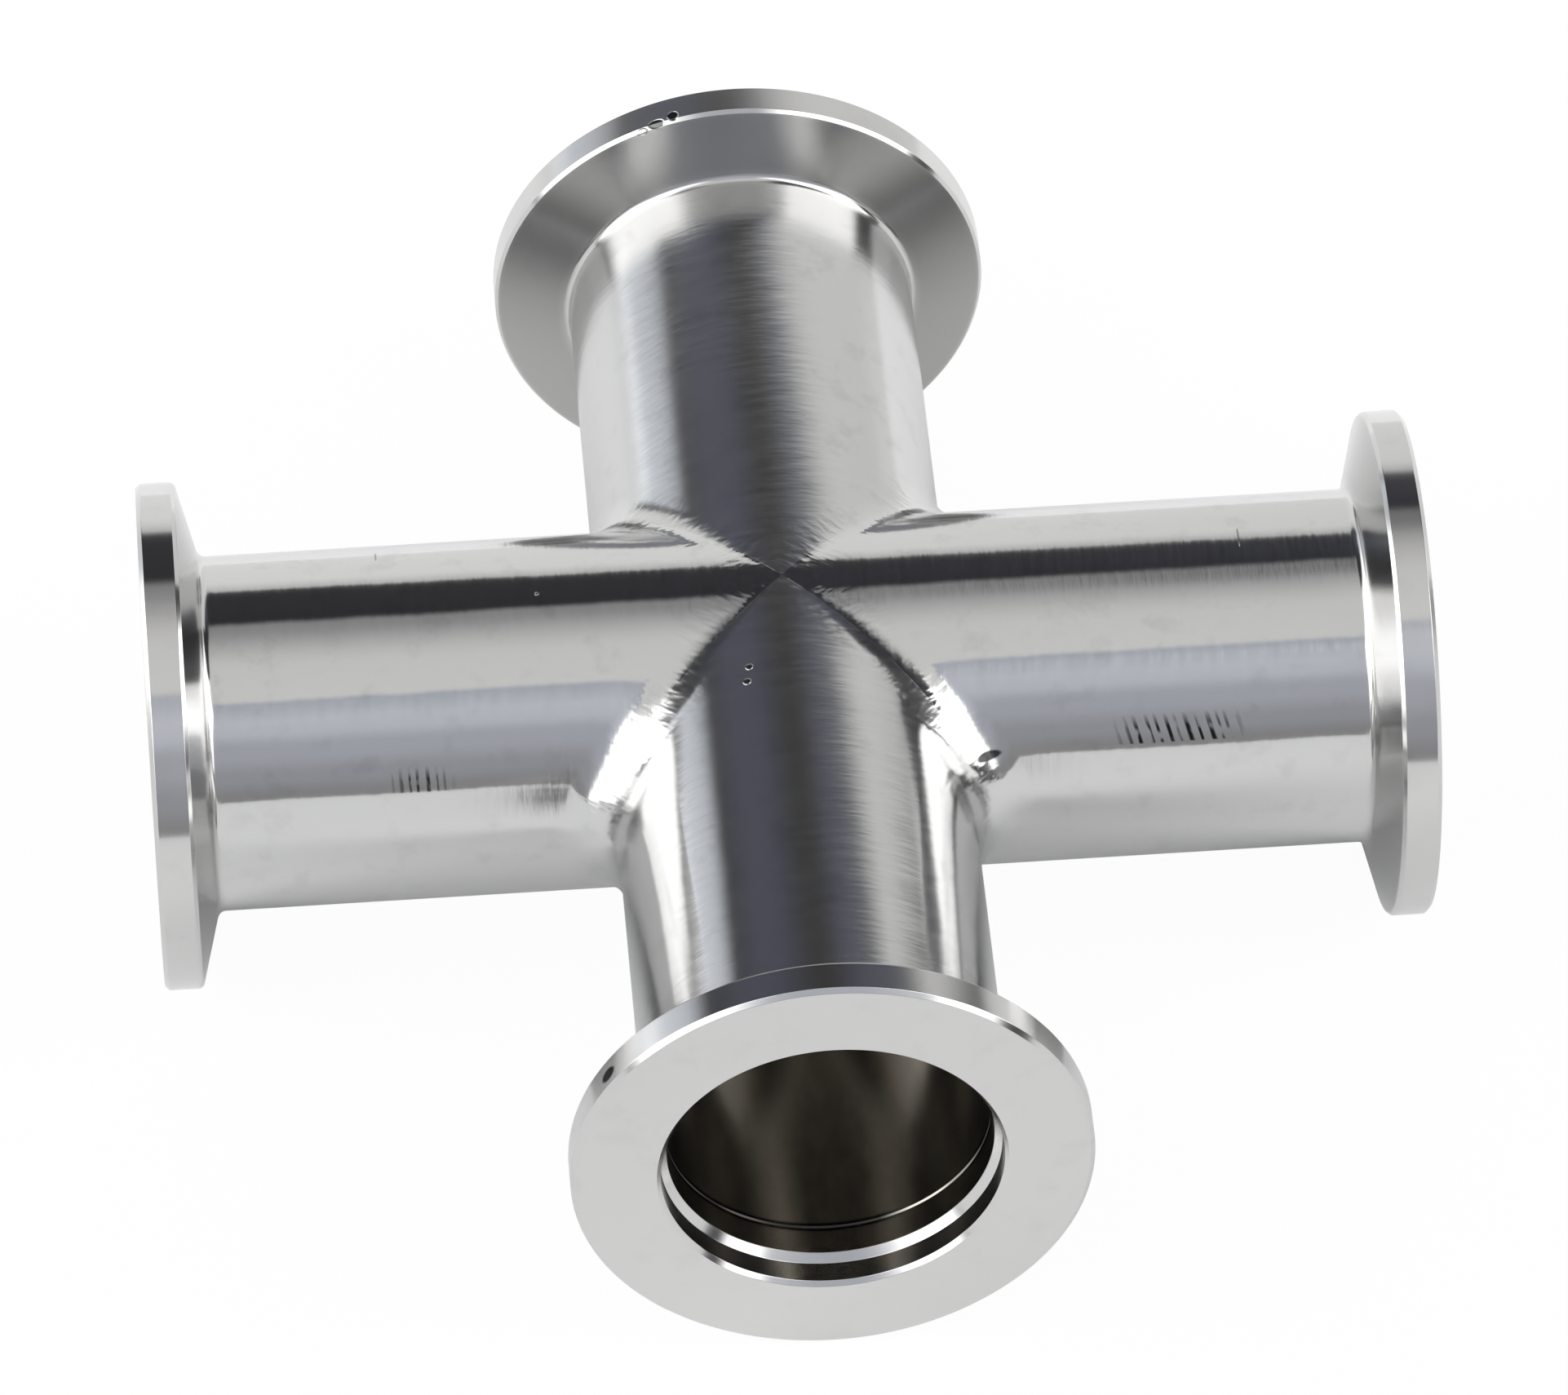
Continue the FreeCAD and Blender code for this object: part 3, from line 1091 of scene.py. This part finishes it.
            inputs = {"Geometry": shape, "Name": name, "Value": value}
            shape = sheet.call("GeometryNodeStoreNamedAttribute", inputs)
        shape = sheet.call("GeometryNodeSetPosition", {"Geometry": shape, "Position": place})
        bored = sheet.call("GeometryNodeInputNamedAttribute", {"Name": IN_BORE}, "Attribute", data_type="FLOAT")
        bored = sheet.math("GREATER_THAN", bored, 0.5)
        shape = sheet.call("GeometryNodeSetMaterial", {"Geometry": shape, "Material": source["Outside"]})
        inputs = {"Geometry": shape, "Selection": bored, "Material": source["Inside"]}
        shape = sheet.call("GeometryNodeSetMaterial", inputs)
        shape = sheet.call("GeometryNodeMergeByDistance", {"Geometry": shape, "Distance": MERGE_WITHIN})
        turn = sheet.join_xyz(0.0, 0.0, source["Turn"])
        shape = sheet.call("GeometryNodeTransform", {"Geometry": shape, "Rotation": turn})
        return sheet.close(sheet.call("GeometryNodeRealizeInstances", {"Geometry": shape}))


def slerp(first: Vector, last: Vector, share: float) -> Vector:
    """Point of the arc between two arms of one circle.

    Args:
        first: from the centre to the arc's start.
        last: from the centre to the arc's end.
        share: how far along the arc, from 0 to 1.

    Returns:
        From the centre to the point.
    """
    whole = first.angle(last)
    return (first * math.sin((1 - share) * whole) + last * math.sin(share * whole)) / math.sin(whole)


@dataclass(frozen=True)
class Band:
    """A band of the surroundings that starts at a pitch and runs on to the front, in degrees.

    Pitch 0 is level behind the part, 90 is straight above it and 180 is level in front.
    """

    name: str
    start: float
    softness: float
    colour: Triple


@dataclass(frozen=True)
class Panel:
    """A soft-edged patch of the surroundings by direction, in degrees.

    Azimuth 0 is straight behind the part and 90 is to its right. Elevation 0 is level. Lean is how far the
    patch shifts in azimuth for every degree of elevation.
    """

    name: str
    azimuth: float
    elevation: float
    half_width: float
    half_height: float
    softness: float
    lean: float
    colour: Triple


def stage_plane(name: str, finish: str, corners: list[Triple]) -> Sheet:
    """Make a plane of the studio, with a material of its own that isn't sampled as a lamp.

    Args:
        name: name of the plane.
        finish: name of its material.
        corners: its four corners in order, in metres.

    Returns:
        A sheet on the material, with its surface as .result.
    """
    mesh = bpy.data.meshes.new(name)
    mesh.from_pydata(corners, [], [(0, 1, 2, 3)])
    plane = bpy.data.objects.new(name, mesh)
    bpy.context.scene.collection.objects.link(plane)
    material = bpy.data.materials.new(finish)
    material.use_nodes = True
    material.cycles.emission_sampling = "NONE"
    material.node_tree.nodes.clear()
    mesh.materials.append(material)
    plane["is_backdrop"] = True
    sheet = Sheet(material.node_tree)
    sheet.result = sheet.node("ShaderNodeOutputMaterial").inputs["Surface"]
    return sheet


@dataclass(frozen=True)
class BackdropCard:
    """A white card standing behind the part, with a slanting upper edge, in millimetres.

    Only the metal and the floor see it, so it hides nothing from a camera.
    """

    distance: float = 240.0
    left: float = -146.0
    right: float = 290.0
    middle_height: float = 169.0
    slant: float = 0.425
    edge_blur: float = 4.0
    fade: float = 55.0
    top_shade: float = 0.74
    right_shade: float = 0.84
    shade_from: float = -50.0
    shade_to: float = 200.0
    colour: Triple = (1.0, 1.0, 0.99)

    def build(self, foot: float) -> None:
        """Stand the card up.

        Args:
            foot: height of the floor, in metres.
        """
        top = (self.middle_height + self.slant * self.right + self.edge_blur) * MM
        left, right, back = self.left * MM, self.right * MM, self.distance * MM
        corners = [(left, back, foot), (right, back, foot), (right, back, top), (left, back, top)]
        sheet = stage_plane("backdrop_card", "white_card", corners)
        x, _, z = sheet.split_xyz(Coordinates.in_mm(sheet))
        edge = sheet.math("MULTIPLY_ADD", x, self.slant, self.middle_height)
        below = sheet.minus(edge, z)
        cover = sheet.rising(below, -self.edge_blur, self.edge_blur)
        white = sheet.ramp(below, 0.0, self.fade, self.top_shade, 1.0)
        dim = sheet.ramp(x, self.shade_from, self.shade_to, 1.0, self.right_shade)
        inputs = {"Color": (*self.colour, 1.0), "Strength": sheet.times(white, dim)}
        glow = sheet.call("ShaderNodeEmission", inputs)
        path = sheet.node("ShaderNodeLightPath")
        hidden = sheet.math("MAXIMUM", path.outputs["Is Camera Ray"], path.outputs["Is Shadow Ray"])
        share = sheet.times(cover, sheet.minus(1.0, hidden))
        clear = sheet.call("ShaderNodeBsdfTransparent", {})
        sheet.close(sheet.call("ShaderNodeMixShader", {0: share, 1: clear, 2: glow}))


@dataclass
class Studio:
    """Floor, surroundings and camera."""

    surround: Triple = (0.036, 0.036, 0.038)
    bands: tuple[Band, ...] = (
        Band("ceiling_edge", 60.5, 2.5, (0.36, 0.36, 0.37)),
        Band("ceiling", 77, 18, (0.84, 0.84, 0.83)),
        Band("wall_top", 115.5, 1.5, (0.51, 0.54, 0.61)),
        Band("wall_strip", 125, 5, (0.66, 0.69, 0.76)),
        Band("wall_middle", 140, 5, (0.51, 0.53, 0.59)),
        Band("wall_low", 157, 7, (0.41, 0.42, 0.46)),
        Band("wall_foot", 172, 6, (0.33, 0.33, 0.34)),
    )
    panels: tuple[Panel, ...] = (
        Panel("black_flag_left", -44, 50, 26, 18, 6, 0.0, (0.030, 0.030, 0.034)),
        Panel("black_flag_right", 60, 50, 44, 18, 6, 0.0, (0.038, 0.038, 0.043)),
        Panel("slate_left", -25, 38, 15, 13, 11, 0.0, (0.10, 0.105, 0.14)),
        Panel("slate_right", 24, 42, 12, 13, 10, 0.0, (0.10, 0.105, 0.14)),
        Panel("horizon_right", 57, 3, 14, 8, 3, 0.0, (0.90, 0.90, 0.90)),
        Panel("pale_window", -52, 7, 13, 18, 4, 0.0, (0.82, 0.86, 0.93)),
        Panel("softbox_left", -104, 30, 40, 25, 6, -0.6, (3.0, 3.0, 3.0)),
        Panel("softbox_right", 108, 33, 28, 24, 3, 0.9, (3.0, 3.0, 3.0)),
        Panel("dark_gap_right", 112, 7, 18, 6, 3, 0.0, (0.05, 0.05, 0.05)),
        Panel("softbox_left_wing", -136, 12, 8, 20, 4, 0.0, (2.6, 2.6, 2.6)),
        Panel("softbox_right_wing", 131, 21, 7, 13, 3, 0.0, (2.6, 2.6, 2.6)),
    )
    floor_reach: float = 4.0
    floor_white: float = 0.96
    floor_mirrored: float = 0.05
    floor_albedo: float = 0.90
    card: BackdropCard = BackdropCard()
    lens: float = 252.36
    sensor_width: float = 36.0
    camera_yaw: float = -4.03
    camera_elevation: float = 45.76
    camera_roll: float = -0.55
    camera_distance: float = 869.0
    camera_aside: float = -0.10
    camera_above: float = -0.15
    camera_sees_from: float = 0.01
    camera_sees_to: float = 100.0

    def build(self, floor_height: float) -> None:
        """Make the floor, the world and the camera.

        Args:
            floor_height: height of what the part rests on, in metres.
        """
        scene = bpy.context.scene
        scene.view_settings.view_transform = "Standard"
        self.build_floor(floor_height)
        self.card.build(floor_height)
        self.build_world()
        self.build_camera()

    def build_floor(self, height: float) -> None:
        """Lay the floor.

        Args:
            height: its height in metres.
        """
        reach = self.floor_reach
        corners = [(-reach, -reach, height), (reach, -reach, height), (reach, reach, height), (-reach, reach, height)]
        sheet = stage_plane("studio_floor", "pale_floor", corners)
        path = sheet.node("ShaderNodeLightPath")
        matt = sheet.call("ShaderNodeBsdfDiffuse", {"Color": (self.floor_albedo,) * 3 + (1.0,)})
        bright = sheet.call("ShaderNodeEmission", {"Color": (*WHITE, 1.0), "Strength": 1.0})
        mirrored = sheet.times(path.outputs["Is Glossy Ray"], self.floor_mirrored)
        share = sheet.math("MULTIPLY_ADD", path.outputs["Is Camera Ray"], self.floor_white, mirrored)
        sheet.close(sheet.call("ShaderNodeMixShader", {0: share, 1: matt, 2: bright}))

    def build_world(self) -> None:
        """Paint the surroundings from the panels, white where the camera looks straight at them."""
        world = bpy.data.worlds.new("studio")
        bpy.context.scene.world = world
        world.use_nodes = True
        # The metal finds every lit thing by its own reflections, so no light is sampled by itself.
        world.cycles.sampling_method = "NONE"
        world.node_tree.nodes.clear()
        sheet = Sheet(world.node_tree)
        x, y, z = sheet.split_xyz(sheet.call("ShaderNodeTexCoord", {}, "Generated"))
        pitch = sheet.math("ARCTAN2", z, y)
        azimuth = sheet.math("ARCTAN2", x, y)
        elevation = sheet.math("ARCSINE", z)
        colour: Feed = (*self.surround, 1.0)
        for band in self.bands:
            low, high = math.radians(band.start - band.softness), math.radians(band.start + band.softness)
            colour = sheet.mix(sheet.ramp(pitch, low, high), colour, band.colour)
        panel_group = self.panel_group()
        for panel in self.panels:
            mask = sheet.node("ShaderNodeGroup", node_tree=panel_group.tree, name=panel.name, label=panel.name)
            sheet.feed(mask.inputs["Looking Azimuth"], azimuth)
            sheet.feed(mask.inputs["Looking Elevation"], elevation)
            mask.inputs["Lean"].default_value = panel.lean
            for name, angle in (
                ("Azimuth", panel.azimuth),
                ("Elevation", panel.elevation),
                ("Half Width", panel.half_width),
                ("Half Height", panel.half_height),
                ("Softness", panel.softness),
            ):
                mask.inputs[name].default_value = math.radians(angle)
            colour = sheet.mix(mask.outputs["Mask"], colour, panel.colour)
        seen = sheet.node("ShaderNodeLightPath").outputs["Is Camera Ray"]
        colour = sheet.mix(seen, colour, WHITE)
        background = sheet.call("ShaderNodeBackground", {"Color": colour, "Strength": 1.0})
        output = sheet.node("ShaderNodeOutputWorld")
        sheet.feed(output.inputs["Surface"], background)

    @staticmethod
    def panel_group() -> Sheet:
        """Mask of one soft-edged panel by direction.

        Returns:
            The group.
        """
        looking, placed = ("Looking Azimuth", "Looking Elevation"), ("Azimuth", "Elevation")
        shaped = ("Half Width", "Half Height", "Softness", "Lean")
        sheet = new_group("soft_panel", SHADER_TREE, dict.fromkeys((*looking, *placed, *shaped), FLOAT))
        source = sheet.source
        above = sheet.minus(source["Looking Elevation"], source["Elevation"])
        away = sheet.minus(source["Looking Azimuth"], source["Azimuth"])
        leaned = sheet.times(above, source["Lean"])
        turn = sheet.math("WRAP", sheet.minus(away, leaned), math.pi, -math.pi)
        turn = sheet.math("ABSOLUTE", turn)
        rise = sheet.math("ABSOLUTE", above)
        masks = []
        for angle, half in ((turn, source["Half Width"]), (rise, source["Half Height"])):
            inner = sheet.minus(half, source["Softness"])
            outer = sheet.plus(half, source["Softness"])
            masks.append(sheet.ramp(angle, inner, outer, 1.0, 0.0))
        return sheet.close(sheet.times(*masks))

    def build_camera(self) -> None:
        """Set the camera where the photograph was taken from."""
        yaw = math.radians(self.camera_yaw)
        elevation = math.radians(self.camera_elevation)
        roll = math.radians(self.camera_roll)
        backwards = Vector(
            (math.sin(yaw) * math.cos(elevation), -math.cos(yaw) * math.cos(elevation), math.sin(elevation))
        )
        level = Vector((0, 0, 1)).cross(backwards).normalized()
        upright = backwards.cross(level)
        right = level * math.cos(roll) + upright * math.sin(roll)
        above = upright * math.cos(roll) - level * math.sin(roll)
        place = backwards * self.camera_distance - right * self.camera_aside - above * self.camera_above
        data = bpy.data.cameras.new("photo_camera")
        data.lens = self.lens
        data.sensor_width = self.sensor_width
        data.clip_start = self.camera_sees_from
        data.clip_end = self.camera_sees_to
        camera = bpy.data.objects.new("photo_camera", data)
        bpy.context.scene.collection.objects.link(camera)
        camera.matrix_world = Matrix.Translation(place * MM) @ Matrix((right, above, backwards)).transposed().to_4x4()
        bpy.context.scene.camera = camera


TUBE_SPOTS = (
    Spot("bead_far", (-3.24, -9.5, 13.6), (0.30, 0.30, 0.5), 0.09, 0.7),
    Spot("bead_near", (-3.52, -11.0, 13.55), (0.32, 0.32, 0.5), 0.10, 0.7),
    Spot("speck_left", (-19.2, -0.5, 14.0), (0.16, 0.16, 0.5), 0.06, 0.0),
    Spot("smear_right_crotch", (15.2, -13.3, 5.9), (1.3, 0.8, 0.36), 0.0, 0.92),
    Spot("scratch_right", (36.0, 1.2, 13.9), (0.07, 1.1, 0.6), -0.04, 0.5),
    Spot("scratch_left", (-31.5, 5.9, 12.7), (0.07, 1.0, 0.6), -0.04, 0.4),
)
TUBE_CHATTER = (
    Chatter("chatter_left", -31.9, -26.2, 5.35, 7.3, 0.68, 0.05, 0.95),
    Chatter("chatter_right", 24.8, 35.6, 5.75, 7.9, 0.80, 0.32, 0.97),
)
RIM_SPOTS = (
    Spot("pit_front_rim", (-16.9, -48.6, 10.8), (0.76, 0.58, 0.98), 0.0, 1.0),
    Spot("nick_back_rim", (-6.5, 47.25, 18.9), (0.75, 0.42, 0.5), -0.08, 0.8),
    Spot("nick_back_rim_end", (-5.1, 47.6, 19.3), (0.5, 0.5, 0.4), -0.06, 0.9),
    Spot("nick_back_rim_burr", (-7.7, 47.0, 18.4), (0.5, 0.22, 0.5), 0.05, 0.25),
)
OUTSIDE = SteelFinish(
    name="polished_steel",
    colour=(0.61, 0.61, 0.605),
    roughness=0.10,
    roughness_spread=0.05,
    brushing=0.92,
    mark_spacing=0.6,
    mark_height=0.012,
    wave_spacing=6.0,
    wave_height=0.035,
    stain=0.08,
    front_back_haze=0.02,
    stroke_height=0.045,
    spots=TUBE_SPOTS,
    chatter=TUBE_CHATTER,
)
FLANGE = SteelFinish(
    name="turned_steel",
    colour=(0.612, 0.608, 0.60),
    roughness=0.13,
    roughness_spread=0.05,
    brushing=0.80,
    mark_spacing=0.20,
    mark_height=0.0006,
    wave_spacing=9.0,
    wave_height=0.0,
    stain=0.04,
    cone_shade=0.18,
    spots=RIM_SPOTS,
)
BORE = SteelFinish(
    name="drawn_bore",
    colour=(0.40, 0.382, 0.348),
    roughness=0.16,
    roughness_spread=0.12,
    brushing=0.0,
    mark_spacing=1.6,
    mark_height=0.0015,
    wave_spacing=5.0,
    wave_height=0.01,
    stain=0.0,
    # painted shade over the weld ring, which hides its reflection all but one arc
    painted_weld_shade=0.9,
)


def main() -> None:
    """Build the pieces and the studio in order, with the floor under the box of the parts as they were before."""
    logging.basicConfig(level=logging.INFO, format="%(name)s: %(message)s")
    cad_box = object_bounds()
    groups = ShaderGroups()
    tube_outside = OUTSIDE.material(Coordinates.ARM, groups)
    tube_inside = BORE.material(Coordinates.BORE, groups)
    flange_outside = FLANGE.material(Coordinates.TURNED, groups)
    piece = FormedTube().build(tube_outside, tube_inside)
    LOG.info("%s: %d faces", piece.name, len(piece.data.polygons))
    for side in Side:
        piece = ClampFlange(side).build(flange_outside, tube_inside)
        LOG.info("%s: %d faces", piece.name, len(piece.data.polygons))
    Studio().build(cad_box[0].z)


if __name__ == "__main__":
    main()
